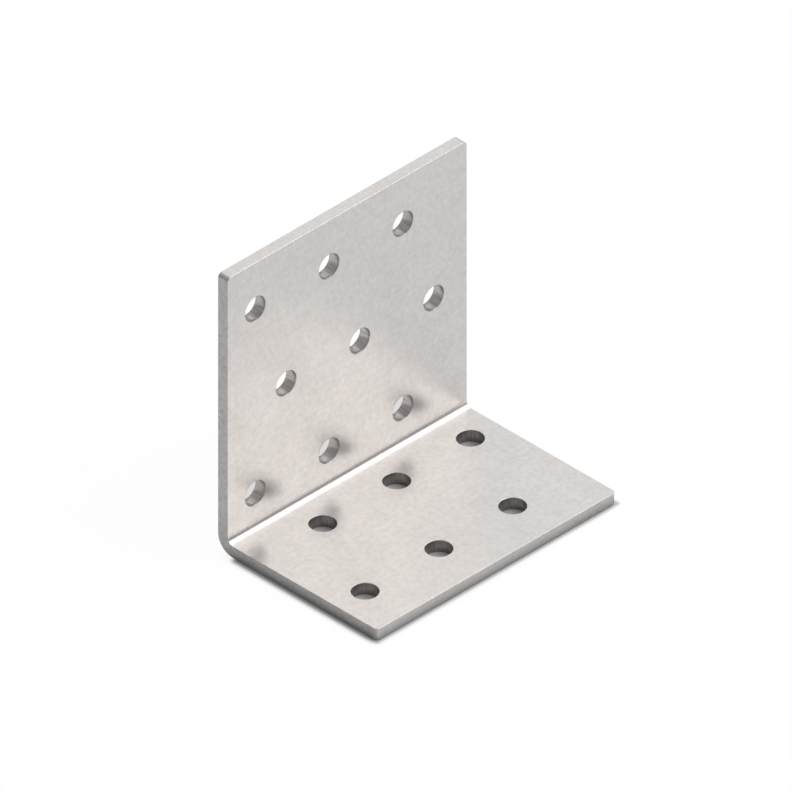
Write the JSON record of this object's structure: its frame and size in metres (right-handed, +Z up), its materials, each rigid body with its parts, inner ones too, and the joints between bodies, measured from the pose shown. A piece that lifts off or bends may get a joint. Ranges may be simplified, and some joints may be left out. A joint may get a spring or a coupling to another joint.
{
  "type": "perforated angle bracket",
  "caption": "Folded sheet steel angle bracket with a tall upright leg, a shorter base leg and staggered rows of punched holes.",
  "frame": {"origin": "under the middle of the bracket's footprint, on the plane that the base leg lies on", "axes": "+Z up along the upright leg, +X along the base leg away from the upright leg, Y along the fold"},
  "size_m": [0.04, 0.06, 0.06],
  "materials": {
    "zinc_coated_steel": "dull zinc-coated sheet with a fine grain, bare steel on the punched and sheared edges"
  },
  "bodies": {
    "root": {"angle_bracket": "zinc_coated_steel"}
  },
  "joints": []
}
